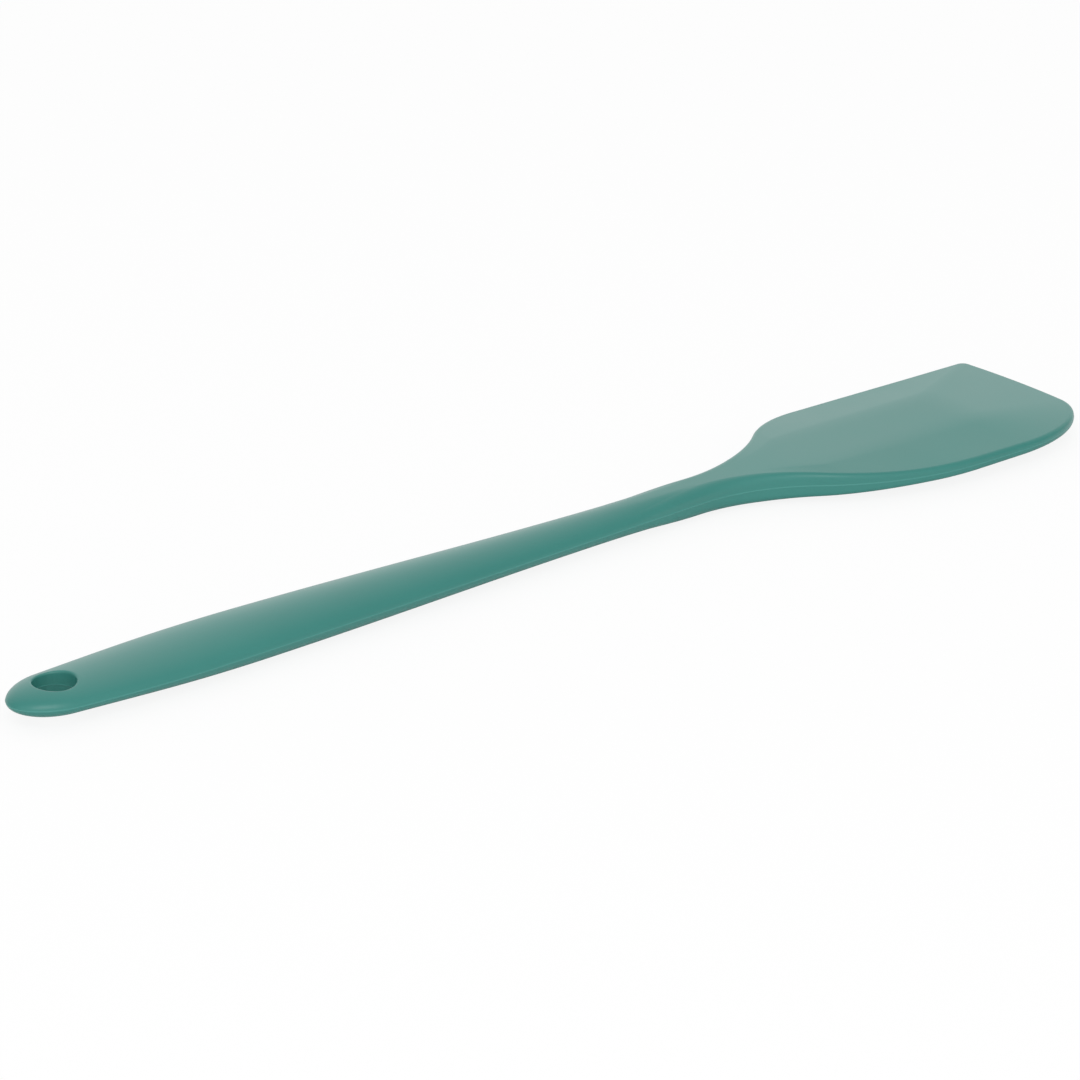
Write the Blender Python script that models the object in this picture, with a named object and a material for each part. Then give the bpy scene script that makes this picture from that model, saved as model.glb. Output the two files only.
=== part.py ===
"""Silicone spatula: two silicone half skins cured round a stamped steel core.

Metres, +Z up. +X runs from the hang hole to the blade's tip, and +Y is the side of the blade's
square corner. Every piece is drawn with x = 0 at the handle's end and z = 0 on the parting plane,
and an empty then puts the middle of the object's underside at the world's origin.
"""
import bmesh
import bpy
import numpy as np
from mathutils import Matrix

# Handle: x is counted from its end, and half sizes from its centre line or the parting plane
HANDLE_LENGTH = 0.1785
END_ROUND_LENGTH = 0.0109
GRIP_DISTANCE = 0.0400
END_HALF_WIDTH = 0.0076
GRIP_HALF_WIDTH = 0.0102
NECK_HALF_WIDTH = 0.0044
TAPER_SOFTNESS = 0.06
PAD_DISTANCE = 0.0100
PAD_HALF_THICKNESS = 0.0032
CROWN_DISTANCE = 0.0610
CROWN_HALF_THICKNESS = 0.0045
WAIST_DISTANCE = 0.1500
WAIST_HALF_THICKNESS = 0.0033
NECK_HALF_THICKNESS = 0.0034

# Hang hole, centred in the round end
HANG_HOLE_RADIUS = 0.0047

# Blade outline: the far side is straight with a square corner, the near side bulges into a round one
BLADE_LENGTH = 0.1015
FAR_HALF_WIDTH = 0.0219
FAR_HOLLOW_RADIUS = 0.0440
FAR_BULGE_RADIUS = 0.0260
FAR_CORNER_RADIUS = 0.0024
NEAR_HALF_WIDTH = 0.0249
NEAR_HOLLOW_RADIUS = 0.0413
NEAR_BULGE_RADIUS = 0.0604
NEAR_CORNER_SHARE = 0.252
NEAR_CORNER_WIDTH = 0.0158
TIP_EDGE_RADIUS = 0.2000
TIP_APEX_Y = -0.0050

# Blade section: a raised flat with a bevel down to the rim on every side
BLADE_BLEND_START = 0.1540
BLADE_BLEND_LENGTH = 0.0260
FLAT_START_DISTANCE = 0.0500
FLAT_HALF_WIDTH = 0.0087
FLAT_SHARE = 0.6
FLAT_HALF_THICKNESS = 0.0030
TIP_BEVEL_LENGTH = 0.0255
NECK_RIM_HALF_HEIGHT = 0.0034
RIM_FALL_DISTANCE = 0.0090
SIDE_RIM_DISTANCE = 0.0530
SIDE_RIM_HALF_HEIGHT = 0.0017
TIP_RIM_HALF_HEIGHT = 0.0012
NECK_FILLET = 0.0024
RIM_FILLET = 0.0011
FILLET_EASE_LENGTH = 0.0300

# Steel core, stamped from strip
CORE_THICKNESS = 0.0020
CORE_TO_HOLE = 0.0030
CORE_SIDE_WALL = 0.0020
PADDLE_FLARE_LENGTH = 0.0220
PADDLE_MARGIN = 0.0017
PADDLE_SETBACK = 0.0045
PADDLE_CORNER_RADIUS = 0.0035
BOND_HOLE_RADIUS = 0.0020
GRIP_BOND_HOLES = 3
GRIP_BOND_SETBACK = 0.0100
GRIP_BOND_PITCH = 0.0220
PADDLE_BOND_HOLES = 3
PADDLE_BOND_SETBACK = 0.0070
PADDLE_BOND_PITCH = 0.0120

# Room between neighbouring pieces
PARTING_GAP = 0.0003
CORE_CLEARANCE = 0.0003

# How finely the curves are cut into flats
END_STEPS = 8
HANDLE_STEPS = 38
ARC_STEPS = 9
SIDE_STEPS = 5
CORNER_STEPS = 9
TIP_STEPS = 6
BEVEL_STEPS = 3
CORE_STEPS = 40
HOLE_SIDES = 48
BOND_HOLE_SIDES = 24
SMOOTH_ANGLE = np.radians(30)

TIP_X = HANDLE_LENGTH + BLADE_LENGTH
FLAT_END_X = TIP_X - TIP_BEVEL_LENGTH
HOLE_X = END_ROUND_LENGTH


def eased(fraction):
    """Half a cosine wave from 0 to 1, level at both ends."""
    return (1 - np.cos(np.pi * np.clip(fraction, 0, 1))) / 2


def taper(along):
    """A hyperbola from 0 to 1 that starts level and soon falls straight."""
    return (np.hypot(along, TAPER_SOFTNESS) - TAPER_SOFTNESS) / (np.hypot(1, TAPER_SOFTNESS) - TAPER_SOFTNESS)


def handle_half_width(x):
    """Swells from the end to the grip as a quarter sine, then tapers to the neck."""
    swell = END_HALF_WIDTH + (GRIP_HALF_WIDTH - END_HALF_WIDTH) * np.sin(
        np.pi / 2 * np.clip(x / GRIP_DISTANCE, 0, 1))
    along = np.clip((x - GRIP_DISTANCE) / (HANDLE_LENGTH - GRIP_DISTANCE), 0, None)
    fall = GRIP_HALF_WIDTH - (GRIP_HALF_WIDTH - NECK_HALF_WIDTH) * taper(along)
    return np.where(x < GRIP_DISTANCE, swell, fall)


def spine_height(x):
    """Height of the centre line above the parting plane, eased from each of five places to the next.

    It rises from the flat pad round the hang hole to the crown of the grip, falls to the thin waist,
    rises to the neck, and falls along the blade to the flat's thickness.
    """
    places = [PAD_DISTANCE, CROWN_DISTANCE, WAIST_DISTANCE, HANDLE_LENGTH, HANDLE_LENGTH + FLAT_START_DISTANCE]
    heights = [PAD_HALF_THICKNESS, CROWN_HALF_THICKNESS, WAIST_HALF_THICKNESS, NECK_HALF_THICKNESS,
               FLAT_HALF_THICKNESS]
    height = heights[0] + 0 * x
    for step in range(4):
        fraction = (x - places[step]) / (places[step + 1] - places[step])
        height = height + (heights[step + 1] - heights[step]) * eased(fraction)
    return height


def rim_height(x):
    """Half height of the blade's side wall: level at the neck, eased down the shoulder, then to the tip.

    It never stands above the centre line, so the neck's top is level.
    """
    start = HANDLE_LENGTH + RIM_FALL_DISTANCE
    side = HANDLE_LENGTH + SIDE_RIM_DISTANCE
    fall = NECK_RIM_HALF_HEIGHT + (SIDE_RIM_HALF_HEIGHT - NECK_RIM_HALF_HEIGHT) * eased(
        (x - start) / (side - start))
    lip = SIDE_RIM_HALF_HEIGHT + (TIP_RIM_HALF_HEIGHT - SIDE_RIM_HALF_HEIGHT) * (x - side) / (TIP_X - side)
    return np.minimum(np.where(x < side, fall, lip), spine_height(x))


def rim_fillet(x):
    """Radius of the side wall's edge: large at the neck, small along the blade."""
    radius = NECK_FILLET + (RIM_FILLET - NECK_FILLET) * eased((x - HANDLE_LENGTH) / FILLET_EASE_LENGTH)
    return np.minimum(radius, rim_height(x) - PARTING_GAP)


def tip_edge_x(y):
    """The tip's edge, a very shallow curve across the blade."""
    return TIP_X - (y - TIP_APEX_Y) ** 2 / (2 * TIP_EDGE_RADIUS)


def side_outline(side):
    """One side of the parting outline, from the handle's end to the middle of the tip.

    It runs round the end, along the handle, through a hollow arc that takes up the taper's slope and a
    bulging arc that meets it at one slope, along the side, round the corner and along the tip edge.
    side is 1 for +Y and -1 for -Y.
    """
    if side > 0:
        width, hollow, bulge = FAR_HALF_WIDTH, FAR_HOLLOW_RADIUS, FAR_BULGE_RADIUS
        corner_length, corner_width = FAR_CORNER_RADIUS, FAR_CORNER_RADIUS
    else:
        width, hollow, bulge = NEAR_HALF_WIDTH, NEAR_HOLLOW_RADIUS, NEAR_BULGE_RADIUS
        corner_length, corner_width = NEAR_CORNER_SHARE * BLADE_LENGTH, NEAR_CORNER_WIDTH
    turn = np.linspace(0, np.pi / 2, END_STEPS, endpoint=False)
    end_x = END_ROUND_LENGTH * (1 - np.cos(turn))
    end = np.column_stack([end_x, handle_half_width(end_x) * np.sin(turn)])

    handle_x = np.linspace(END_ROUND_LENGTH, HANDLE_LENGTH, HANDLE_STEPS, endpoint=False)
    handle_x[np.argmin(np.abs(handle_x - GRIP_DISTANCE))] = GRIP_DISTANCE
    handle = np.column_stack([handle_x, handle_half_width(handle_x)])

    nudge = 0.0001
    start = np.arctan((handle_half_width(HANDLE_LENGTH) - handle_half_width(HANDLE_LENGTH - nudge)) / nudge)
    slope = np.arccos((hollow * np.cos(start) + bulge - (width - NECK_HALF_WIDTH)) / (hollow + bulge))
    rise = np.linspace(start, slope, ARC_STEPS, endpoint=False)
    hollow_arc = np.column_stack([HANDLE_LENGTH + hollow * (np.sin(rise) - np.sin(start)),
                                  NECK_HALF_WIDTH + hollow * (np.cos(start) - np.cos(rise))])
    shoulder_x = HANDLE_LENGTH + (hollow + bulge) * np.sin(slope) - hollow * np.sin(start)
    fall = np.linspace(slope, 0, ARC_STEPS, endpoint=False)
    bulge_arc = np.column_stack([shoulder_x - bulge * np.sin(fall), width - bulge * (1 - np.cos(fall))])

    corner_y = width - corner_width
    corner_end_x = tip_edge_x(side * corner_y)
    corner_length = min(corner_length, corner_end_x - shoulder_x)
    side_x = np.linspace(shoulder_x, corner_end_x - corner_length, SIDE_STEPS, endpoint=False)
    straight = np.column_stack([side_x, np.full(SIDE_STEPS, width)])

    turn = np.linspace(0, np.pi / 2, CORNER_STEPS, endpoint=False)
    corner = np.column_stack([corner_end_x - corner_length * (1 - np.sin(turn)),
                              corner_y + corner_width * np.cos(turn)])
    tip_y = np.linspace(corner_y, side * TIP_APEX_Y, TIP_STEPS + 1)
    tip = np.column_stack([tip_edge_x(side * tip_y), tip_y])
    return np.concatenate([end, handle, hollow_arc, bulge_arc, straight, corner, tip]) * [1, side]


def inward(outline, side):
    """Unit vectors square to the outline, pointing into the piece; straight back at the tip's middle."""
    along = np.gradient(outline, axis=0)
    along[-1] = (0, -side)
    along /= np.linalg.norm(along, axis=1)[:, None]
    return side * np.column_stack([along[:, 1], -along[:, 0]])


def flat_edge(outline, side):
    """The point of the raised flat's edge that each outline point's bevel climbs to.

    The flat takes a share of the room between the rounded edges until it reaches its full width. Its edge
    keeps abreast of the outline up to the flat's start, and then falls back for the bevel at the tip.
    """
    corner_at = len(outline) - TIP_STEPS - 1 - CORNER_STEPS
    tip_at = len(outline) - TIP_STEPS - 1
    corner_x = outline[corner_at, 0]
    start_x = HANDLE_LENGTH + FLAT_START_DISTANCE
    x = np.interp(outline[:, 0], [0, start_x, corner_x], [0, start_x, FLAT_END_X])
    room = FLAT_SHARE * (np.abs(outline[:, 1]) - rim_fillet(outline[:, 0]))
    y = side * np.where(outline[:, 0] < corner_x, np.clip(room, 0, FLAT_HALF_WIDTH), FLAT_HALF_WIDTH)
    y[tip_at:] *= np.linspace(1, 0, TIP_STEPS + 1)
    return np.column_stack([x, y])


def section_grid(side, spine):
    """Points of one quarter of the skin, from the outline up to the spine, as an array (step, ring, xyz).

    Each ring is a blend of two sections: the handle's oval, a quarter of an ellipse from outline to
    spine, and the blade's, which climbs the rim wall, rounds its edge, and follows the bevel to the flat.
    """
    outline = side_outline(side)
    x = outline[:, 0]
    top = spine_height(spine[:, 0])
    rim = rim_height(x)
    into = inward(outline, side)
    edge = flat_edge(outline, side)
    edge_top = spine_height(edge[:, 0])
    fillet = rim_fillet(x)
    rim_top = outline + fillet[:, None] * into
    half_turn = 1 - np.sqrt(0.5)
    blade = [(outline, 0 * rim),
             (outline, rim - fillet),
             (outline + half_turn * fillet[:, None] * into, rim - half_turn * fillet)]
    for step in range(BEVEL_STEPS + 1):
        climb = step / BEVEL_STEPS
        blade.append((rim_top + (edge - rim_top) * climb, rim + (edge_top - rim) * climb))
    blade.append((spine, top))

    share = eased((x - BLADE_BLEND_START) / BLADE_BLEND_LENGTH)[:, None]
    rings = []
    for angle, (place, height) in zip(np.linspace(0, np.pi / 2, len(blade)), blade):
        oval = outline + (spine - outline) * (1 - np.cos(angle))
        flat = oval + (place - oval) * share
        lift = top * np.sin(angle)
        lift = lift + (height - lift) * share[:, 0]
        rings.append(np.column_stack([flat, np.maximum(lift, PARTING_GAP / 2)]))
    return np.stack(rings, axis=1)


def core_half_width(x):
    """The core's half width: inside the handle's wall, then flared to the paddle under the flat."""
    neck = NECK_HALF_WIDTH - CORE_SIDE_WALL
    paddle = FLAT_HALF_WIDTH - PADDLE_MARGIN
    flare = neck + (paddle - neck) * eased((x - HANDLE_LENGTH) / PADDLE_FLARE_LENGTH)
    return np.where(x < HANDLE_LENGTH, handle_half_width(x) - CORE_SIDE_WALL, flare)


CORE_START_X = HOLE_X + HANG_HOLE_RADIUS + CORE_TO_HOLE
CORE_END_X = FLAT_END_X - PADDLE_SETBACK


def core_outline(grow):
    """The core's closed outline, moved outwards by grow: a round end, the bar and the paddle."""
    end_radius = float(core_half_width(CORE_START_X))
    turn = np.linspace(0, np.pi / 2, END_STEPS, endpoint=False)
    end_x = CORE_START_X + end_radius * (1 - np.cos(turn))
    end = np.column_stack([end_x, core_half_width(end_x) * np.sin(turn)])
    bar_x = np.linspace(CORE_START_X + end_radius, HANDLE_LENGTH + PADDLE_FLARE_LENGTH, CORE_STEPS)
    bar = np.column_stack([bar_x, core_half_width(bar_x)])
    corner_x = CORE_END_X - PADDLE_CORNER_RADIUS
    turn = np.linspace(0, np.pi / 2, END_STEPS)
    corner_y = float(core_half_width(corner_x)) - PADDLE_CORNER_RADIUS
    corner = np.column_stack([corner_x + PADDLE_CORNER_RADIUS * np.sin(turn),
                              corner_y + PADDLE_CORNER_RADIUS * np.cos(turn)])
    half = np.concatenate([end, bar, corner])
    loop = np.concatenate([half, half[:0:-1] * [1, -1]])
    along = np.roll(loop, -1, axis=0) - np.roll(loop, 1, axis=0)
    along /= np.linalg.norm(along, axis=1)[:, None]
    return loop + grow * np.column_stack([-along[:, 1], along[:, 0]])


def bond_hole_places():
    """Where silicone passes through the core: a row in the grip and a row in the paddle."""
    grip = CORE_START_X + GRIP_BOND_SETBACK + GRIP_BOND_PITCH * np.arange(GRIP_BOND_HOLES)
    paddle = CORE_END_X - PADDLE_BOND_SETBACK - PADDLE_BOND_PITCH * np.arange(PADDLE_BOND_HOLES)
    return np.concatenate([grip, paddle])


def make_material(name, colour, roughness, metallic=0.0):
    material = bpy.data.materials.new(name)
    material.use_nodes = True
    shader = material.node_tree.nodes["Principled BSDF"]
    shader.inputs["Base Color"].default_value = (*colour, 1.0)
    shader.inputs["Roughness"].default_value = roughness
    shader.inputs["Metallic"].default_value = metallic
    return material


def place(name, mesh, collection, frame):
    """Puts a mesh into the scene as one named object, carried by the frame empty."""
    thing = bpy.data.objects.new(name, mesh)
    collection.objects.link(thing)
    thing.parent = frame
    return thing


def make_pins(name, collection, frame, places, radius, sides):
    """Upright round pins on the centre line, one at each place, that cut holes right through.

    Each is turned by half a side, so that none of its corners meets the skin's centre line.
    """
    shell = bmesh.new()
    turned = Matrix.Rotation(np.pi / sides, 4, "Z")
    for x in places:
        bmesh.ops.create_cone(shell, cap_ends=True, segments=sides, radius1=radius, radius2=radius,
                              depth=4 * CROWN_HALF_THICKNESS, matrix=Matrix.Translation((x, 0, 0)) @ turned)
    mesh = bpy.data.meshes.new(name)
    shell.to_mesh(mesh)
    shell.free()
    return place(name, mesh, collection, frame)


def make_plate(name, collection, frame, grow):
    """The core's plate, or with grow the room that it needs, before its bond holes are cut."""
    loop = core_outline(grow)
    curve = bpy.data.curves.new(name, "CURVE")
    curve.dimensions = "2D"
    curve.fill_mode = "BOTH"
    curve.extrude = CORE_THICKNESS / 2 + grow
    spline = curve.splines.new("POLY")
    spline.points.add(len(loop) - 1)
    spline.points.foreach_set("co", np.pad(loop, ((0, 0), (0, 2))).ravel())
    spline.use_cyclic_u = True
    drawn = bpy.data.objects.new(name + "_outline", curve)
    collection.objects.link(drawn)
    mesh = bpy.data.meshes.new_from_object(drawn.evaluated_get(bpy.context.evaluated_depsgraph_get()))
    bpy.data.objects.remove(drawn)
    shell = bmesh.new()
    shell.from_mesh(mesh)
    bmesh.ops.remove_doubles(shell, verts=shell.verts, dist=1e-6)
    bmesh.ops.recalc_face_normals(shell, faces=shell.faces)
    shell.to_mesh(mesh)
    shell.free()
    mesh.name = name
    return place(name, mesh, collection, frame)


def cut(thing, cutter):
    modifier = thing.modifiers.new(cutter.name, "BOOLEAN")
    modifier.operation = "DIFFERENCE"
    modifier.solver = "EXACT"
    modifier.object = cutter


def make_skin(name, collection, frame, upward):
    """One half of the silicone: the loft over its sections, closed by strips across the parting face.

    upward is 1 for the half above the parting plane and -1 for the half below it.
    """
    far, near = side_outline(1), side_outline(-1)
    spine_x = np.clip((far[:, 0] + near[:, 0]) / 2, END_ROUND_LENGTH, FLAT_END_X - FLAT_HALF_WIDTH)
    spine = np.column_stack([spine_x, 0 * spine_x])
    grid = np.concatenate([section_grid(1, spine), section_grid(-1, spine)[:, -2::-1]], axis=1)
    grid[:, :, 2] *= upward
    steps, rings = grid.shape[:2]
    number = np.arange(steps * rings).reshape(steps, rings)
    ring = np.column_stack([number, number[:, 0]])
    corners = np.stack([ring[:-1, :-1], ring[1:, :-1], ring[1:, 1:], ring[:-1, 1:]], axis=-1)
    mesh = bpy.data.meshes.new(name)
    mesh.from_pydata(grid.reshape(-1, 3).tolist(), [], corners.reshape(-1, 4).tolist())
    shell = bmesh.new()
    shell.from_mesh(mesh)
    bmesh.ops.remove_doubles(shell, verts=shell.verts, dist=1e-6)
    bmesh.ops.recalc_face_normals(shell, faces=shell.faces)
    shell.to_mesh(mesh)
    shell.free()
    mesh.shade_smooth()
    mesh.set_sharp_from_angle(angle=SMOOTH_ANGLE)
    return place(name, mesh, collection, frame)


def main():
    for thing in list(bpy.data.objects):
        bpy.data.objects.remove(thing)
    parts = bpy.data.collections.new("silicone_spatula")
    cutters = bpy.data.collections.new("cutters")
    for collection in (parts, cutters):
        bpy.context.scene.collection.children.link(collection)

    frame = bpy.data.objects.new("spatula_frame", None)
    frame.location = (-TIP_X / 2, (NEAR_HALF_WIDTH - FAR_HALF_WIDTH) / 2, CROWN_HALF_THICKNESS)
    parts.objects.link(frame)

    silicone = make_material("teal_silicone", (0.038, 0.231, 0.198), 0.35)
    steel = make_material("stamped_steel", (0.55, 0.56, 0.57), 0.35, 1.0)

    hang_hole = make_pins("hang_hole_cutter", cutters, frame, [HOLE_X], HANG_HOLE_RADIUS, HOLE_SIDES)
    bond_holes = make_pins("bond_hole_cutter", cutters, frame, bond_hole_places(),
                           BOND_HOLE_RADIUS, BOND_HOLE_SIDES)
    bond_keys = make_pins("bond_key_cutter", cutters, frame, bond_hole_places(),
                          BOND_HOLE_RADIUS - CORE_CLEARANCE, BOND_HOLE_SIDES)
    core_room = make_plate("core_room_cutter", cutters, frame, CORE_CLEARANCE)
    cut(core_room, bond_keys)

    core = make_plate("core", parts, frame, 0.0)
    core.data.materials.append(steel)
    cut(core, bond_holes)
    for name, upward in (("upper_skin", 1), ("lower_skin", -1)):
        skin = make_skin(name, parts, frame, upward)
        skin.data.materials.append(silicone)
        cut(skin, core_room)
        cut(skin, hang_hole)
    for cutter in cutters.objects:
        cutter.hide_render = True
        cutter.display_type = "WIRE"


main()
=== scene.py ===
"""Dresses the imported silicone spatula: one fine moulded skin round its steel core, on a pale studio floor."""

import bmesh
import bpy
import numpy as np
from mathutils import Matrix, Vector


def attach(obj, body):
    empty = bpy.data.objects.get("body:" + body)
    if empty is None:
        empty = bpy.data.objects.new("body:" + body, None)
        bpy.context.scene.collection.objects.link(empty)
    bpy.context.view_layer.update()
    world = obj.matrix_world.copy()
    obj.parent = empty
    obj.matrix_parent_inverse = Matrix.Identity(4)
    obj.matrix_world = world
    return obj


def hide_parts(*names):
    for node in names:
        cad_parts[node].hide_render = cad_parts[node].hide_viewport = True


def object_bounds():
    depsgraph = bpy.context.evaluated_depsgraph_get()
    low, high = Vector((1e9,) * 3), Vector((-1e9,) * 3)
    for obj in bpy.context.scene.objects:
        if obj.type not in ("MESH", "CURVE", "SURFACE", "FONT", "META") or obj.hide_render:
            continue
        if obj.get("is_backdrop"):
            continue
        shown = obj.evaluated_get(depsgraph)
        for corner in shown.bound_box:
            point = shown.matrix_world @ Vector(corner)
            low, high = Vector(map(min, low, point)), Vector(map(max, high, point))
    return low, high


bl_info = {
    "name": "Silicone Spatula",
    "version": (1, 0, 0),
    "blender": (4, 5, 0),
    "location": "View3D > Sidebar > Spatula",
    "description": "Models a one-piece silicone spatula round its packed solids, with finishes and a stage",
    "category": "Add Mesh",
}

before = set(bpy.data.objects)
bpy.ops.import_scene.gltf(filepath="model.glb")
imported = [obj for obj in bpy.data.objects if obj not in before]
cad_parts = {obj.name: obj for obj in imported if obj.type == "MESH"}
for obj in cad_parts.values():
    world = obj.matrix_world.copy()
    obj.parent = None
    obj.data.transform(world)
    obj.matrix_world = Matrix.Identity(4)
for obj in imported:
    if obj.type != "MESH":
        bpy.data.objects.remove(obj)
CAD_LOW, CAD_HIGH = (np.array(corner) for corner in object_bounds())
PARTING_Z = float((CAD_LOW[2] + CAD_HIGH[2]) / 2)
TIP_X = float(CAD_HIGH[0] - CAD_LOW[0])
MM = 0.001


def linear(hex_colour):
    """Linear red, green, blue and alpha from an sRGB hex colour."""
    code = np.array([int(hex_colour[i:i + 2], 16) for i in (1, 3, 5)]) / 255
    value = np.where(code <= 0.04045, code / 12.92, ((code + 0.055) / 1.055) ** 2.4)
    return (*value.tolist(), 1.0)


def length(name, description, default):
    """A length, kept in metres."""
    return bpy.props.FloatProperty(name=name, description=description, default=default, min=0.0,
                                   unit="LENGTH", precision=5)


def colour(name, description, hex_colour):
    """A colour, given as sRGB hex and kept as linear."""
    return bpy.props.FloatVectorProperty(name=name, description=description, subtype="COLOR", size=4,
                                         min=0.0, max=1.0, default=linear(hex_colour))


def factor(name, description, default):
    """A share from 0 to 1."""
    return bpy.props.FloatProperty(name=name, description=description, default=default, min=0.0, max=1.0,
                                   subtype="FACTOR")


def rotation(name, description, degrees):
    """An angle, given in degrees and kept in radians."""
    return bpy.props.FloatProperty(name=name, description=description, default=np.radians(degrees),
                                   subtype="ANGLE", unit="ROTATION")


def strength(name, description, default):
    """The strength of a light."""
    return bpy.props.FloatProperty(name=name, description=description, default=default, min=0.0)


class SpatulaBodySettings(bpy.types.PropertyGroup):
    """Sizes of the moulded silicone, counted from the handle's end, its centre line and the parting plane"""
    handle_length: length("Handle length", "From the handle's end to the start of the shoulders", 178.5 * MM)
    end_round: length("End round", "Length of the handle's round end", 10.9 * MM)
    grip_distance: length("Grip distance", "From the handle's end to its widest place", 40.0 * MM)
    end_width: length("End half width", "Half width that the round end is drawn from", 7.6 * MM)
    grip_width: length("Grip half width", "Half width at the widest place", 10.2 * MM)
    neck_width: length("Neck half width", "Half width where the shoulders start", 4.4 * MM)
    pad_distance: length("Pad distance", "From the handle's end to where the pad starts to rise", 10.0 * MM)
    pad_height: length("Pad half thickness", "Half thickness round the hang hole", 3.2 * MM)
    crown_distance: length("Crown distance", "From the handle's end to its thickest place", 61.0 * MM)
    crown_height: length("Crown half thickness", "Half thickness at the thickest place", 4.5 * MM)
    waist_distance: length("Waist distance", "From the handle's end to its thin waist", 150.0 * MM)
    waist_height: length("Waist half thickness", "Half thickness at the thin waist", 3.3 * MM)
    neck_height: length("Neck half thickness", "Half thickness where the shoulders start", 3.4 * MM)
    hole_radius: length("Hang hole radius", "Radius of the hang hole's bore", 4.6 * MM)
    hole_round: length("Hang hole round", "How far the hang hole's rim is rounded", 0.6 * MM)
    far_width: length("Far half width", "Blade's half width on the straight side", 21.9 * MM)
    far_hollow: length("Far hollow radius", "Radius of the far shoulder's hollow arc", 44.0 * MM)
    far_bulge: length("Far bulge radius", "Radius of the far shoulder's bulging arc", 26.0 * MM)
    far_corner: length("Far corner radius", "Radius of the blade's square corner", 2.4 * MM)
    near_width: length("Near half width", "Blade's half width on the bulging side", 24.9 * MM)
    near_hollow: length("Near hollow radius", "Radius of the near shoulder's hollow arc", 41.3 * MM)
    near_bulge: length("Near bulge radius", "Radius of the near shoulder's bulging arc", 60.4 * MM)
    corner_length: length("Near corner length", "Length of the blade's round corner", 25.6 * MM)
    corner_width: length("Near corner width", "Width of the blade's round corner", 15.8 * MM)
    tip_radius: length("Tip edge radius", "Radius of the tip's shallow curve", 200.0 * MM)
    blend_start: length("Blend start", "From the handle's end to where the oval turns square", 154.0 * MM)
    blend_length: length("Blend length", "Length over which the oval turns into the blade", 26.0 * MM)
    flat_start: length("Flat start", "From the shoulders' start to the raised flat", 50.0 * MM)
    flat_width: length("Flat half width", "Half width of the raised flat", 8.7 * MM)
    flat_height: length("Flat half thickness", "Half thickness at the raised flat", 3.0 * MM)
    tip_bevel: length("Tip bevel", "From the raised flat to the tip", 25.5 * MM)
    neck_rim: length("Neck rim", "Half height of the side wall at the neck", 3.4 * MM)
    rim_fall: length("Rim fall", "From the shoulders' start to where the side wall starts to fall", 9.0 * MM)
    side_rim_distance: length("Side rim distance", "From the shoulders' start to the thin side", 53.0 * MM)
    side_rim: length("Side rim", "Half height of the side wall along the side", 1.7 * MM)
    tip_rim: length("Tip rim", "Half height of the side wall at the tip", 1.2 * MM)
    rim_round: length("Rim round", "Radius of the side wall's upper and lower edge", 1.1 * MM)
    neck_round: length("Neck round", "Radius of the side wall's edges at the neck", 2.4 * MM)
    round_ease: length("Round ease", "Length over which the edges sharpen along the shoulders", 30.0 * MM)
    flat_corner: length("Flat corner radius", "Radius of the raised flat's corners", 3.0 * MM)
    flash_height: length("Flash height", "How far the trimmed flash stands proud of the skin", 0.06 * MM)
    flash_reach: length("Flash reach", "Half the height of the trimmed flash", 0.20 * MM)


class SpatulaFinishSettings(bpy.types.PropertyGroup):
    """Colours and gloss of the spatula's materials"""
    teal: colour("Silicone colour", "Pigment of the moulded silicone", "#3a8078")
    # Painted highlight: a paler teal along the parting line, standing in for the light that the flash catches
    flash_painted_highlight: colour("Trimmed flash colour", "Silicone where the flash was trimmed off", "#478d85")
    steel: colour("Steel colour", "Rolled stainless strip", "#c4c5c6")
    grain: length("Mould grain", "Size of the blasted mould's grain, drawn coarse enough to show", 0.35 * MM)
    roughness: factor("Silicone roughness", "Satin from a blasted mould", 0.32)


class SpatulaStageSettings(bpy.types.PropertyGroup):
    """Camera, floor and light"""
    azimuth: rotation("Camera azimuth", "Turn of the camera about Z", -38.734)
    elevation: rotation("Camera elevation", "Camera's height as an angle", 22.602)
    distance: length("Camera distance", "From the camera to the point it looks at", 1430.0 * MM)
    lens: bpy.props.FloatProperty(name="Lens", description="Focal length in millimetres on a 36 mm sensor",
                                  default=222.9, min=1.0, unit="CAMERA")
    floor: colour("Floor colour", "Matt white studio floor", "#f7f7f7")
    glow: factor("Floor glow", "Share of the floor's look that is pure white", 0.88)
    shade_near: length("Shade near", "Reflections of the floor nearer than this keep its shade", 5.0 * MM)
    shade_far: length("Shade far", "Reflections of the floor further than this are white", 25.0 * MM)
    even_light: strength("Even light", "Light from all round the studio", 0.20)
    panel_light: strength("Panel light", "Light from the panels before and behind", 1.04)
    top_light: strength("Top light", "Light from the ceiling", 0.26)
    softbox: bpy.props.FloatProperty(name="Softbox power", description="Power of the softbox above the camera",
                                     default=4.0, min=0.0, unit="POWER")


# Stations along each stretch of the outline
BODY_STEPS = {"end": 36, "hole": 36, "handle": 130, "hollow": 36, "bulge": 36, "side": 24, "corner": 44,
              "tip": 32}
# Ring places in a section: the wall's round starts, it reaches the crest, the flat's edge and the spine
ROUND, CREST, FLAT, SPINE = 1, 3, 6, 7
# The flat's edge is softened this far before and behind its ring place
RIDGE = 0.5
# Rings are closer together below this place, where the flash is
FLASH_RING = 0.18
# Where the rings' spacing changes, and the number of rings from each such place to the next
RING_PLACES = (0, FLASH_RING, ROUND, CREST, FLAT - RIDGE, FLAT + RIDGE, SPINE)
RING_STEPS = (9, 6, 8, 10, 9, 2)
# Stations down the hang hole's rounded rim and down its wall, which crowd towards the parting line
RIM_STEPS, WALL_STEPS, WALL_CROWDING = 9, 14, 1.3
# Hang hole radii behind its centre where the centre line takes over, and further on where it has caught up
JOIN_RADII, REACH_RADII = 2, 6
# Least height of the upright part of the side wall
UPRIGHT = 0.3 * MM
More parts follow.
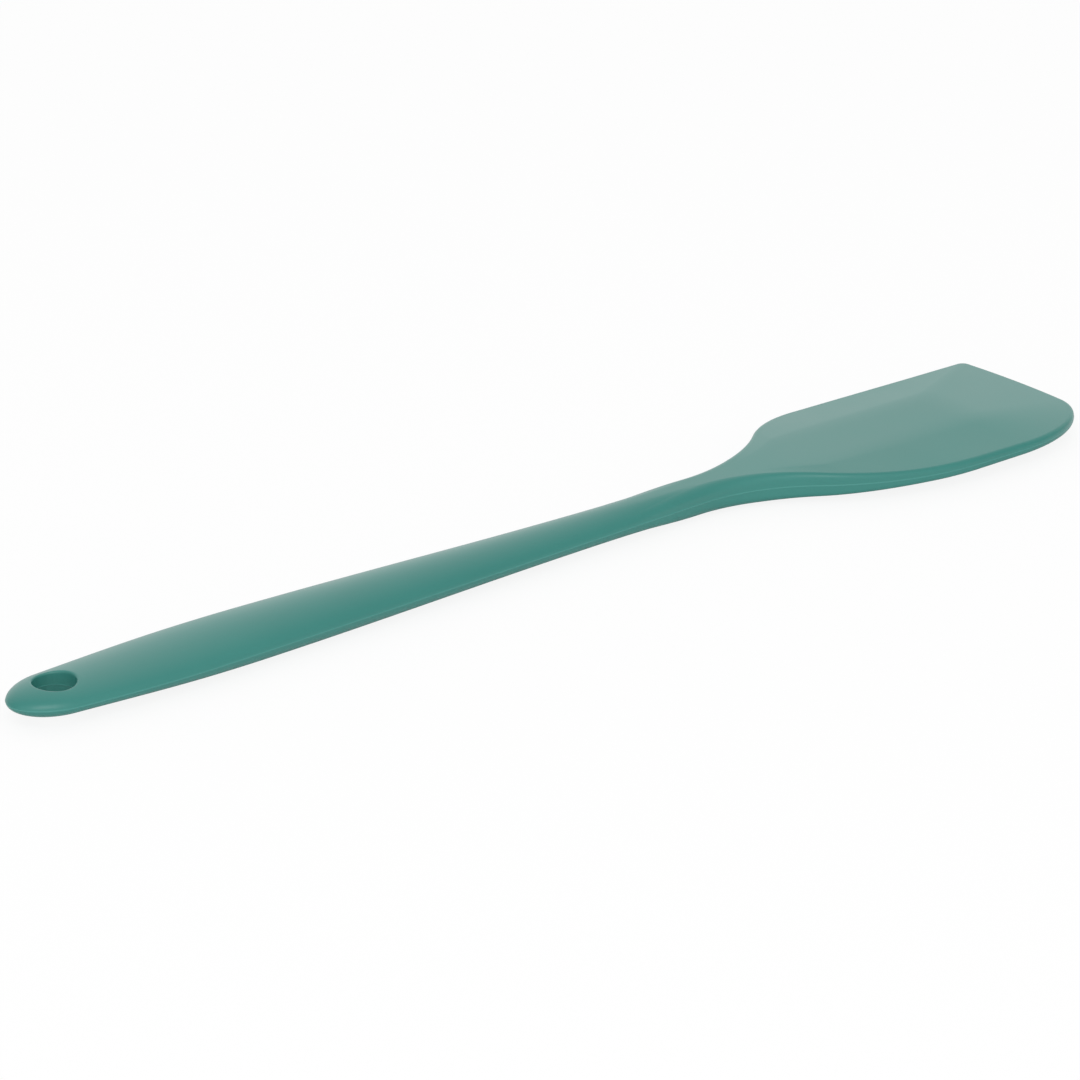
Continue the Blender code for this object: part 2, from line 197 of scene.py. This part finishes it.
# How softly the handle's taper starts, and the share of its room that the raised flat takes
TAPER_SOFTNESS, FLAT_SHARE = 0.06, 0.6
# The tip's shallow curve reaches furthest here, a little off the centre line
TIP_APEX_Y = -5.0 * MM
WELD_DISTANCE = 1e-6


def eased(fraction):
    """Half a cosine wave from 0 to 1, level at both ends."""
    return (1 - np.cos(np.pi * np.clip(fraction, 0, 1))) / 2


def taper(along):
    """A hyperbola from 0 to 1 that starts level and soon falls straight."""
    return (np.hypot(along, TAPER_SOFTNESS) - TAPER_SOFTNESS) / (np.hypot(1, TAPER_SOFTNESS) - TAPER_SOFTNESS)


def handle_half_width(s, x):
    """Swells from the end to the grip as a quarter sine, then tapers to the neck."""
    rise = np.sin(np.pi / 2 * np.clip(x / s.grip_distance, 0, 1))
    swell = s.end_width + (s.grip_width - s.end_width) * rise
    along = np.clip((x - s.grip_distance) / (s.handle_length - s.grip_distance), 0, None)
    return np.where(x < s.grip_distance, swell, s.grip_width - (s.grip_width - s.neck_width) * taper(along))


def spine_height(s, x):
    """Height of the centre line above the parting plane, eased from each of five places to the next.

    It rises from the flat pad round the hang hole to the crown of the grip, falls to the thin waist,
    rises to the neck, and falls along the blade to the flat's thickness.
    """
    places = [s.pad_distance, s.crown_distance, s.waist_distance, s.handle_length,
              s.handle_length + s.flat_start]
    heights = [s.pad_height, s.crown_height, s.waist_height, s.neck_height, s.flat_height]
    height = heights[0] + 0 * x
    for step in range(len(places) - 1):
        fraction = (x - places[step]) / (places[step + 1] - places[step])
        height = height + (heights[step + 1] - heights[step]) * eased(fraction)
    return height


def rim_height(s, x):
    """Half height of the side wall: level at the neck, eased down the shoulder, then straight to the tip.

    It never stands above the centre line, so the neck's top is level.
    """
    start, side = s.handle_length + s.rim_fall, s.handle_length + s.side_rim_distance
    fall = s.neck_rim + (s.side_rim - s.neck_rim) * eased((x - start) / (side - start))
    lip = s.side_rim + (s.tip_rim - s.side_rim) * (x - side) / (TIP_X - side)
    return np.minimum(np.where(x < side, fall, lip), spine_height(s, x))


def rim_fillet(s, x):
    """Radius of the side wall's edge, eased from the neck's to the blade's and always less than the wall."""
    radius = s.neck_round + (s.rim_round - s.neck_round) * eased((x - s.handle_length) / s.round_ease)
    return np.minimum(radius, rim_height(s, x) - UPRIGHT)


def hole_join_x(s):
    """Where sections stop ending on the hang hole's rim and start ending on the centre line."""
    return s.end_round + JOIN_RADII * s.hole_radius


def tip_edge_x(s, y):
    """The tip's edge: a shallow parabola across the blade."""
    return TIP_X - (y - TIP_APEX_Y) ** 2 / (2 * s.tip_radius)


def side_outline(s, side):
    """One side of the outline, from the handle's end to the middle of the tip, as an array of x, y.

    A quarter oval, the handle's swell and taper, a hollow arc that takes up the taper's slope, a bulging
    arc that meets it at one slope, the straight side, a quarter oval corner and the tip's parabola.
    side is 1 for +Y and -1 for -Y.
    """
    if side > 0:
        width, hollow, bulge = s.far_width, s.far_hollow, s.far_bulge
        corner_length, corner_width = s.far_corner, s.far_corner
    else:
        width, hollow, bulge = s.near_width, s.near_hollow, s.near_bulge
        corner_length, corner_width = s.corner_length, s.corner_width
    turn = np.linspace(0, np.pi / 2, BODY_STEPS["end"], endpoint=False)
    x = s.end_round * (1 - np.cos(turn))
    end = np.column_stack([x, handle_half_width(s, x) * np.sin(turn)])
    x = np.concatenate([np.linspace(s.end_round, hole_join_x(s), BODY_STEPS["hole"], endpoint=False),
                        np.linspace(hole_join_x(s), s.handle_length, BODY_STEPS["handle"], endpoint=False)])
    handle = np.column_stack([x, handle_half_width(s, x)])
    nudge = 0.1 * MM
    before = handle_half_width(s, s.handle_length - nudge)
    start = np.arctan((handle_half_width(s, s.handle_length) - before) / nudge)
    slope = np.arccos((hollow * np.cos(start) + bulge - (width - s.neck_width)) / (hollow + bulge))
    rise = np.linspace(start, slope, BODY_STEPS["hollow"], endpoint=False)
    hollow_arc = np.column_stack([s.handle_length + hollow * (np.sin(rise) - np.sin(start)),
                                  s.neck_width + hollow * (np.cos(start) - np.cos(rise))])
    shoulder_x = s.handle_length + (hollow + bulge) * np.sin(slope) - hollow * np.sin(start)
    fall = np.linspace(slope, 0, BODY_STEPS["bulge"], endpoint=False)
    bulge_arc = np.column_stack([shoulder_x - bulge * np.sin(fall), width - bulge * (1 - np.cos(fall))])
    corner_y = width - corner_width
    corner_end_x = tip_edge_x(s, side * corner_y)
    x = np.linspace(shoulder_x, corner_end_x - corner_length, BODY_STEPS["side"], endpoint=False)
    straight = np.column_stack([x, np.full(len(x), width)])
    turn = np.linspace(0, np.pi / 2, BODY_STEPS["corner"], endpoint=False)
    corner = np.column_stack([corner_end_x - corner_length * (1 - np.sin(turn)),
                              corner_y + corner_width * np.cos(turn)])
    y = np.linspace(corner_y, side * TIP_APEX_Y, BODY_STEPS["tip"] + 1)
    tip = np.column_stack([tip_edge_x(s, side * y), y])
    return np.concatenate([end, handle, hollow_arc, bulge_arc, straight, corner, tip]) * [1, side]


def inward(outline, side):
    """Unit vectors square to the outline, pointing into the piece; straight back at the tip's middle."""
    along = np.gradient(outline, axis=0)
    along[-1] = (0, -side)
    along /= np.linalg.norm(along, axis=1)[:, None]
    return side * np.column_stack([along[:, 1], -along[:, 0]])


def flat_edge(s, outline, side):
    """The raised flat's edge point for each outline point: along the side, round the corner, to the middle.

    The flat takes a fixed share of the room between the rounded edges until it reaches its full width. Its
    edge keeps abreast of the outline up to the flat's start, and then falls back for the bevel at the tip.
    """
    corner_at = len(outline) - BODY_STEPS["tip"] - 1 - BODY_STEPS["corner"]
    tip_at = len(outline) - BODY_STEPS["tip"] - 1
    flat_end = TIP_X - s.tip_bevel
    r = s.flat_corner
    start = s.handle_length + s.flat_start
    x = np.interp(outline[:, 0], [0, start, outline[corner_at, 0]], [0, start, flat_end - r])
    room = FLAT_SHARE * (np.abs(outline[:, 1]) - rim_fillet(s, outline[:, 0]))
    y = np.clip(room, 0, s.flat_width)
    turn = np.linspace(0, np.pi / 2, BODY_STEPS["corner"] + 1)
    x[corner_at:tip_at + 1] = flat_end - r + r * np.sin(turn)
    y[corner_at:tip_at + 1] = s.flat_width - r + r * np.cos(turn)
    x[tip_at:] = flat_end
    y[tip_at:] = np.linspace(s.flat_width - r, 0, BODY_STEPS["tip"] + 1)
    return np.column_stack([x, side * y])


def spine(s):
    """The centre line under each station: clear of the hang hole at first, and stopped short in the flat."""
    far, near = side_outline(s, 1), side_outline(s, -1)
    x = (far[:, 0] + near[:, 0]) / 2
    hole_back = s.end_round + s.hole_radius + s.hole_round
    join = hole_join_x(s)
    reach = join + REACH_RADII * s.hole_radius
    x = np.interp(x, [0, join, reach, TIP_X], [hole_back, hole_back, reach, TIP_X])
    return np.minimum(x, TIP_X - s.tip_bevel - s.flat_width)


def hole_targets(s, outline):
    """Where each station's section ends in plan: on the hang hole's rounded rim, or on the centre line.

    The polar angle about the hole runs from pi at the handle's end, through a right angle beside the hole,
    to 0 behind it, two radii further on, where the centre line takes over.
    """
    end, hole = BODY_STEPS["end"], BODY_STEPS["hole"]
    angle = np.zeros(len(outline))
    angle[:end] = np.pi - np.linspace(0, np.pi / 2, end, endpoint=False)
    angle[end:end + hole] = np.linspace(np.pi / 2, 0, hole, endpoint=False)
    return angle, np.arange(len(outline)) <= end + hole


def dome_height(s, plan):
    """Height of the handle's upper surface over a plan point: an oval across, rounded off at the end."""
    x, y = plan[..., 0], plan[..., 1]
    off_end = np.clip(1 - x / s.end_round, 0, 1)
    out = off_end ** 2 + (y / handle_half_width(s, x)) ** 2
    return spine_height(s, x) * np.sqrt(np.clip(1 - out, 0, 1))


def section_rings():
    """Each ring's place in the section, from 0 at the parting line, evenly spaced along each stretch."""
    stretches = [np.linspace(low, high, steps, endpoint=False)
                 for low, high, steps in zip(RING_PLACES, RING_PLACES[1:], RING_STEPS)]
    return np.concatenate([*stretches, [SPINE]])


def blade_section(s, outline, side, centre):
    """The blade's section at each station and ring, as plan places and heights.

    From the parting line up the side wall, round its edge as a quarter circle, straight up the bevel to
    the raised flat, and level to the spine. The edge of the flat is a parabola between bevel and flat.
    """
    rings = section_rings()[None, :, None]
    foot = outline[:, None, :]
    into = inward(outline, side)[:, None, :]
    rim = rim_height(s, outline[:, 0])[:, None, None]
    edge = flat_edge(s, outline, side)
    edge = np.column_stack([edge, spine_height(s, edge[:, 0])])[:, None]
    mid = np.column_stack([centre, spine_height(s, centre[:, 0])])[:, None]
    fillet = rim_fillet(s, outline[:, 0])[:, None, None]
    turn = np.pi / 2 * np.clip((rings - ROUND) / (CREST - ROUND), 0, 1)
    wall = np.concatenate([foot + into * fillet * (1 - np.cos(turn)),
                           (rim - fillet) * np.clip(rings / ROUND, 0, 1) + fillet * np.sin(turn)], axis=2)
    crest = np.concatenate([foot + into * fillet, rim], axis=2)

    def bevel(place):
        return crest + (edge - crest) * (place - CREST) / (FLAT - CREST)

    def flat(place):
        return edge + (mid - edge) * (place - FLAT) / (SPINE - FLAT)

    before, behind = FLAT - RIDGE, FLAT + RIDGE
    t = np.clip((rings - before) / (behind - before), 0, 1)
    ridge = (1 - t) ** 2 * bevel(before) + 2 * t * (1 - t) * edge + t ** 2 * flat(behind)
    top = np.where(rings < behind, ridge, flat(rings))
    return np.where(rings < CREST, wall, np.where(rings < before, bevel(rings), top))


def flash(s, z):
    """How far the surface stands proud at a height z over the parting plane: a straight fall to none."""
    return s.flash_height * np.clip(1 - z / s.flash_reach, 0, 1)


def skin_quarter(s, side):
    """Points of the skin above the parting plane on one side, as an array (station, ring, xyz).

    Each ring blends two sections over the shoulder: the handle's oval, whose plan place moves from the
    outline to the spine by 1 - cos of the ring's angle, and the blade's.
    """
    outline = side_outline(s, side)
    centre = np.column_stack([spine(s), 0 * outline[:, 0]])
    angle, at_hole = hole_targets(s, outline)
    reach = s.hole_radius + s.hole_round
    rim = np.column_stack([s.end_round + reach * np.cos(angle), side * reach * np.sin(angle)])
    target = np.where(at_hole[:, None], rim, centre)
    turn = (np.pi / 2 * section_rings() / SPINE)[None, :, None]
    plan = outline[:, None, :] + (target - outline)[:, None, :] * (1 - np.cos(turn))
    handle = np.concatenate([plan, dome_height(s, plan)[..., None]], axis=2)
    top = spine_height(s, centre[:, 0])[:, None, None]
    oval = np.concatenate([plan, top * np.sin(turn)], axis=2)
    share = eased((outline[:, 0] - s.blend_start) / s.blend_length)[:, None, None]
    skin = np.where(share > 0, oval + (blade_section(s, outline, side, centre) - oval) * share, handle)
    skin[..., :2] -= inward(outline, side)[:, None, :] * flash(s, skin[..., 2])[..., None]
    return skin, at_hole


def bore_quarter(s, skin, at_hole):
    """The hang hole's wall on one side, from the skin over its rounded rim down to the parting plane.

    The rim is a parabola from the skin to the wall, and the wall is straight down to the trimmed flash.
    """
    start = skin[at_hole, -1]
    centre = np.array([s.end_round, 0.0])
    radial = (start[:, :2] - centre) / (s.hole_radius + s.hole_round)
    wall = centre + radial * s.hole_radius
    edge = np.column_stack([wall, dome_height(s, wall)])
    drop = edge - [0, 0, s.hole_round]
    t = np.linspace(0, 1, RIM_STEPS)[None, :, None]
    rim = (1 - t) ** 2 * start[:, None] + 2 * t * (1 - t) * edge[:, None] + t ** 2 * drop[:, None]
    fall = np.linspace(1, 0, WALL_STEPS)[None, 1:, None] ** WALL_CROWDING
    down = np.repeat(drop[:, None], fall.shape[1], axis=1) * [1, 1, 0] + drop[:, None] * [0, 0, 1] * fall
    down[..., :2] -= radial[:, None] * flash(s, down[..., 2])[..., None]
    return np.concatenate([rim, down], axis=1)


def grid_faces(rows, columns, first):
    """Corner numbers of the squares of a grid whose points are numbered row by row from first."""
    number = first + np.arange(rows * columns).reshape(rows, columns)
    corners = [number[:-1, :-1], number[1:, :-1], number[1:, 1:], number[:-1, 1:]]
    return np.stack(corners, axis=-1).reshape(-1, 4)


def mesh_from_grids(name, grids, shift):
    """One closed mesh from grids of points, joined where their edges meet."""
    points, faces, first = [], [], 0
    for grid in grids:
        rows, columns = grid.shape[:2]
        points.append(grid.reshape(-1, 3))
        faces.append(grid_faces(rows, columns, first))
        first += rows * columns
    mesh = bpy.data.meshes.new(name)
    mesh.from_pydata((np.concatenate(points) + shift).tolist(), [], np.concatenate(faces).tolist())
    shell = bmesh.new()
    shell.from_mesh(mesh)
    bmesh.ops.remove_doubles(shell, verts=shell.verts, dist=WELD_DISTANCE)
    bmesh.ops.recalc_face_normals(shell, faces=shell.faces)
    shell.to_mesh(mesh)
    shell.free()
    mesh.shade_smooth()
    return mesh


def add_node(tree, kind, settings=None, links=None):
    """A shader node with its settings, and its inputs set to a value or linked to an output."""
    node = tree.nodes.new(kind)
    for key, value in (settings or {}).items():
        setattr(node, key, value)
    for key, value in (links or {}).items():
        if isinstance(value, bpy.types.NodeSocket):
            tree.links.new(value, node.inputs[key])
        else:
            node.inputs[key].default_value = value
    return node


def new_material(name):
    """An empty node material and its node tree."""
    material = bpy.data.materials.new(name)
    material.use_nodes = True
    material.node_tree.nodes.clear()
    return material, material.node_tree


# Nearly all of Blender's noise lies between these two values
NOISE_LOW, NOISE_HIGH = 0.3, 0.7
SILICONE_IOR = 1.41
# Pigment and gloss drift a little over this distance, by these shares
CLOUD_SIZE = 35.0 * MM
TONE_DRIFT = 0.03
GLOSS_DRIFT = 0.03
GRAIN_DEPTH, GRAIN_STRENGTH = 0.03 * MM, 0.08
# The rolled strip's lines, the width drawn coarser than real so that they show
LINE_LENGTH, LINE_WIDTH = 20.0 * MM, 0.2 * MM
LINE_GLOSS, LINE_MATT = 0.28, 0.42


def moulded_silicone(finish, flash_reach):
    """Food-grade silicone rubber, pigmented right through and pressed in a blasted steel mould."""
    # Matt to the touch with a soft sheen at low angles, and a grain too fine to see from a step away.
    # Where the mould's halves met, the flash was trimmed, and a thin paler line painted along it is a painted
    # highlight for the light that its edge catches, at its palest over the middle third.
    material, tree = new_material("teal_moulded_silicone")
    place = add_node(tree, "ShaderNodeTexCoord").outputs["Object"]
    grain = add_node(tree, "ShaderNodeTexNoise", {},
                     {"Vector": place, "Scale": 1 / finish.grain, "Detail": 2.0})
    cloud = add_node(tree, "ShaderNodeTexNoise", {},
                     {"Vector": place, "Scale": 1 / CLOUD_SIZE, "Detail": 3.0})
    tone = add_node(tree, "ShaderNodeMapRange", {},
                    {"Value": cloud.outputs["Fac"], "From Min": NOISE_LOW, "From Max": NOISE_HIGH,
                     "To Min": 1 - TONE_DRIFT, "To Max": 1 + TONE_DRIFT})
    tint = add_node(tree, "ShaderNodeHueSaturation", {},
                    {"Color": tuple(finish.teal), "Value": tone.outputs["Result"]})
    height = add_node(tree, "ShaderNodeSeparateXYZ", {}, {"Vector": place}).outputs["Z"]
    away = add_node(tree, "ShaderNodeMath", {"operation": "SUBTRACT"}, {0: height, 1: PARTING_Z})
    away = add_node(tree, "ShaderNodeMath", {"operation": "ABSOLUTE"}, {0: away.outputs["Value"]})
    # Painted highlight: near the parting plane the teal is mixed towards the paler highlight colour, fully so
    # over the middle third of the flash's reach
    line = add_node(tree, "ShaderNodeMapRange", {},
                    {"Value": away.outputs["Value"], "From Min": flash_reach / 3, "From Max": flash_reach,
                     "To Min": 1.0, "To Max": 0.0})
    skin = add_node(tree, "ShaderNodeMix", {"data_type": "RGBA"},
                    {"Factor": line.outputs["Result"], "A": tint.outputs["Color"],
                     "B": tuple(finish.flash_painted_highlight)})
    rough = add_node(tree, "ShaderNodeMapRange", {},
                     {"Value": cloud.outputs["Fac"], "From Min": NOISE_LOW, "From Max": NOISE_HIGH,
                      "To Min": finish.roughness - GLOSS_DRIFT, "To Max": finish.roughness + GLOSS_DRIFT})
    bump = add_node(tree, "ShaderNodeBump", {},
                    {"Height": grain.outputs["Fac"], "Strength": GRAIN_STRENGTH, "Distance": GRAIN_DEPTH})
    shader = add_node(tree, "ShaderNodeBsdfPrincipled", {},
                      {"Base Color": skin.outputs["Result"], "Roughness": rough.outputs["Result"],
                       "IOR": SILICONE_IOR, "Normal": bump.outputs["Normal"]})
    add_node(tree, "ShaderNodeOutputMaterial", {}, {"Surface": shader.outputs["BSDF"]})
    return material


def rolled_stainless(finish):
    """Stainless strip, cold rolled along its length and stamped to shape."""
    # Fine lines along the strip break its gloss up, and it mirrors softly across them.
    material, tree = new_material("rolled_stainless_strip")
    place = add_node(tree, "ShaderNodeTexCoord").outputs["Object"]
    stretched = add_node(tree, "ShaderNodeMapping", {},
                         {"Vector": place, "Scale": (1 / LINE_LENGTH, 1 / LINE_WIDTH, 1 / LINE_WIDTH)})
    lines = add_node(tree, "ShaderNodeTexNoise", {}, {"Vector": stretched.outputs["Vector"], "Scale": 1.0})
    rough = add_node(tree, "ShaderNodeMapRange", {},
                     {"Value": lines.outputs["Fac"], "To Min": LINE_GLOSS, "To Max": LINE_MATT})
    shader = add_node(tree, "ShaderNodeBsdfPrincipled", {},
                      {"Base Color": tuple(finish.steel), "Metallic": 1.0,
                       "Roughness": rough.outputs["Result"]})
    add_node(tree, "ShaderNodeOutputMaterial", {}, {"Surface": shader.outputs["BSDF"]})
    return material


def studio_floor(stage):
    """Matt white paint, which takes the spatula's soft shadow and is seen whiter than it is lit."""
    # The silicone's gloss shows the floor white too, but close by it shows the shade under the spatula.
    material, tree = new_material("matt_white_floor")
    paint = add_node(tree, "ShaderNodeBsdfPrincipled", {},
                     {"Base Color": tuple(stage.floor), "Roughness": 0.9, "Specular IOR Level": 0.2})
    white = add_node(tree, "ShaderNodeEmission", {}, {"Color": (1, 1, 1, 1), "Strength": 1.0})
    ray = add_node(tree, "ShaderNodeLightPath").outputs
    clear = add_node(tree, "ShaderNodeMapRange", {},
                     {"Value": ray["Ray Length"], "From Min": stage.shade_near, "From Max": stage.shade_far})
    gloss = add_node(tree, "ShaderNodeMath", {"operation": "MULTIPLY"},
                     {0: ray["Is Glossy Ray"], 1: clear.outputs["Result"]})
    seen = add_node(tree, "ShaderNodeMath", {"operation": "MAXIMUM"},
                    {0: ray["Is Camera Ray"], 1: gloss.outputs["Value"]})
    seen = add_node(tree, "ShaderNodeMath", {"operation": "MAXIMUM"},
                    {0: seen.outputs["Value"], 1: ray["Is Transmission Ray"]})
    share = add_node(tree, "ShaderNodeMath", {"operation": "MULTIPLY"},
                     {0: seen.outputs["Value"], 1: stage.glow})
    mixed = add_node(tree, "ShaderNodeMixShader", {},
                     {0: share.outputs["Value"], 1: paint.outputs["BSDF"], 2: white.outputs["Emission"]})
    add_node(tree, "ShaderNodeOutputMaterial", {}, {"Surface": mixed.outputs["Shader"]})
    return material


class SPATULA_OT_silicone_body(bpy.types.Operator):
    """Model the moulded silicone as one skin over both CAD halves"""
    bl_idname = "spatula.silicone_body"
    bl_label = "Silicone body"

    def execute(self, context):
        s = context.scene.spatula_body
        grids = []
        for side in (1, -1):
            skin, at_hole = skin_quarter(s, side)
            bore = bore_quarter(s, skin, at_hole)
            for upward in (1, -1):
                grids += [skin * [1, 1, upward], bore * [1, 1, upward]]
        shift = np.array([CAD_LOW[0], CAD_LOW[1] + s.near_width, PARTING_Z])
        mesh = mesh_from_grids("silicone_body", grids, shift)
        body = bpy.data.objects.new("silicone_body", mesh)
        context.scene.collection.objects.link(body)
        mesh.materials.append(moulded_silicone(context.scene.spatula_finish, s.flash_reach))
        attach(body, "root")
        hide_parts("upper_skin", "lower_skin")
        return {"FINISHED"}


class SPATULA_OT_steel_core(bpy.types.Operator):
    """Give the stamped core its rolled steel finish"""
    bl_idname = "spatula.steel_core"
    bl_label = "Steel core"

    def execute(self, context):
        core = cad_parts["core"]
        core.data.materials.clear()
        core.data.materials.append(rolled_stainless(context.scene.spatula_finish))
        return {"FINISHED"}


# The floor reaches this far each way, in metres
FLOOR_REACH = 6.0
# The point that the camera looks at, in the parting plane near the middle
AIM_X, AIM_Y = -1.69 * MM, 3.11 * MM
SENSOR_WIDTH = 36.0
CLIP_END = 20.0
# The softbox stands over the camera's own direction, 45 degrees above the spatula
SOFTBOX_DISTANCE, SOFTBOX_SIZE = 1.2, 0.75
SOFTBOX_OUT, SOFTBOX_UP = 0.766, 0.707


class SPATULA_OT_stage(bpy.types.Operator):
    """Set the floor, the light and the camera"""
    bl_idname = "spatula.stage"
    bl_label = "Stage"

    def execute(self, context):
        stage = context.scene.spatula_stage
        scene = context.scene
        scene.view_settings.view_transform = "Standard"

        mesh = bpy.data.meshes.new("studio_floor")
        corners = [(-1, -1), (1, -1), (1, 1), (-1, 1)]
        mesh.from_pydata([(x * FLOOR_REACH, y * FLOOR_REACH, 0) for x, y in corners], [], [(0, 1, 2, 3)])
        floor = bpy.data.objects.new("studio_floor", mesh)
        scene.collection.objects.link(floor)
        mesh.materials.append(studio_floor(stage))
        floor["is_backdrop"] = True

        back = Vector((np.sin(stage.azimuth) * np.cos(stage.elevation),
                       -np.cos(stage.azimuth) * np.cos(stage.elevation), np.sin(stage.elevation)))
        aim = Vector((AIM_X, AIM_Y, PARTING_Z))
        camera = bpy.data.objects.new("camera", bpy.data.cameras.new("camera"))
        scene.collection.objects.link(camera)
        camera.data.sensor_width = SENSOR_WIDTH
        camera.data.lens = stage.lens
        camera.data.clip_end = CLIP_END
        camera.location = aim + back * stage.distance
        camera.rotation_euler = (-back).to_track_quat("-Z", "Y").to_euler()
        scene.camera = camera

        lamp = bpy.data.objects.new("softbox", bpy.data.lights.new("softbox", "AREA"))
        lamp.data.shape = "SQUARE"
        lamp.data.size = SOFTBOX_SIZE
        lamp.data.energy = stage.softbox
        toward = Vector((back.x * SOFTBOX_OUT, back.y * SOFTBOX_OUT, SOFTBOX_UP))
        lamp.location = aim + SOFTBOX_DISTANCE * toward
        lamp.rotation_euler = (lamp.location - aim).to_track_quat("Z", "Y").to_euler()
        scene.collection.objects.link(lamp)

        world = bpy.data.worlds.new("studio")
        scene.world = world
        world.use_nodes = True
        tree = world.node_tree
        tree.nodes.clear()
        away = (-np.sin(stage.azimuth), np.cos(stage.azimuth), 0.0)
        place = add_node(tree, "ShaderNodeTexCoord").outputs["Generated"]
        depth = add_node(tree, "ShaderNodeVectorMath", {"operation": "DOT_PRODUCT"}, {0: place, 1: away})
        depth = add_node(tree, "ShaderNodeMath", {"operation": "ABSOLUTE"}, {0: depth.outputs["Value"]})
        panels = add_node(tree, "ShaderNodeMath", {"operation": "MULTIPLY_ADD"},
                          {0: depth.outputs["Value"], 1: stage.panel_light, 2: stage.even_light})
        height = add_node(tree, "ShaderNodeSeparateXYZ", {}, {"Vector": place})
        height = add_node(tree, "ShaderNodeMath", {"operation": "MAXIMUM"}, {0: height.outputs["Z"], 1: 0.0})
        level = add_node(tree, "ShaderNodeMath", {"operation": "MULTIPLY_ADD"},
                         {0: height.outputs["Value"], 1: stage.top_light, 2: panels.outputs["Value"]})
        glow = add_node(tree, "ShaderNodeBackground", {},
                        {"Color": (1, 1, 1, 1), "Strength": level.outputs["Value"]})
        add_node(tree, "ShaderNodeOutputWorld", {}, {"Surface": glow.outputs["Background"]})
        return {"FINISHED"}


class SPATULA_PT_panel(bpy.types.Panel):
    """Lists the spatula's pieces in the 3D view's sidebar"""
    bl_label = "Silicone Spatula"
    bl_idname = "SPATULA_PT_panel"
    bl_space_type = "VIEW_3D"
    bl_region_type = "UI"
    bl_category = "Spatula"

    def draw(self, context):
        for operator in OPERATORS:
            self.layout.operator(operator.bl_idname)
        for name in SETTINGS:
            group = getattr(context.scene, name)
            box = self.layout.box()
            for key in group.__annotations__:
                box.prop(group, key)


SETTINGS = {"spatula_body": SpatulaBodySettings, "spatula_finish": SpatulaFinishSettings,
            "spatula_stage": SpatulaStageSettings}
OPERATORS = (SPATULA_OT_silicone_body, SPATULA_OT_steel_core, SPATULA_OT_stage)


def register():
    """Add the settings, the operators and the panel to Blender."""
    for kind in (*SETTINGS.values(), *OPERATORS, SPATULA_PT_panel):
        bpy.utils.register_class(kind)
    for name, kind in SETTINGS.items():
        setattr(bpy.types.Scene, name, bpy.props.PointerProperty(type=kind))


def unregister():
    """Take them out again."""
    for name in SETTINGS:
        delattr(bpy.types.Scene, name)
    for kind in (SPATULA_PT_panel, *reversed(OPERATORS), *SETTINGS.values()):
        bpy.utils.unregister_class(kind)


def main():
    register()
    bpy.ops.spatula.silicone_body()
    bpy.ops.spatula.steel_core()
    bpy.ops.spatula.stage()


if __name__ == "__main__":
    main()
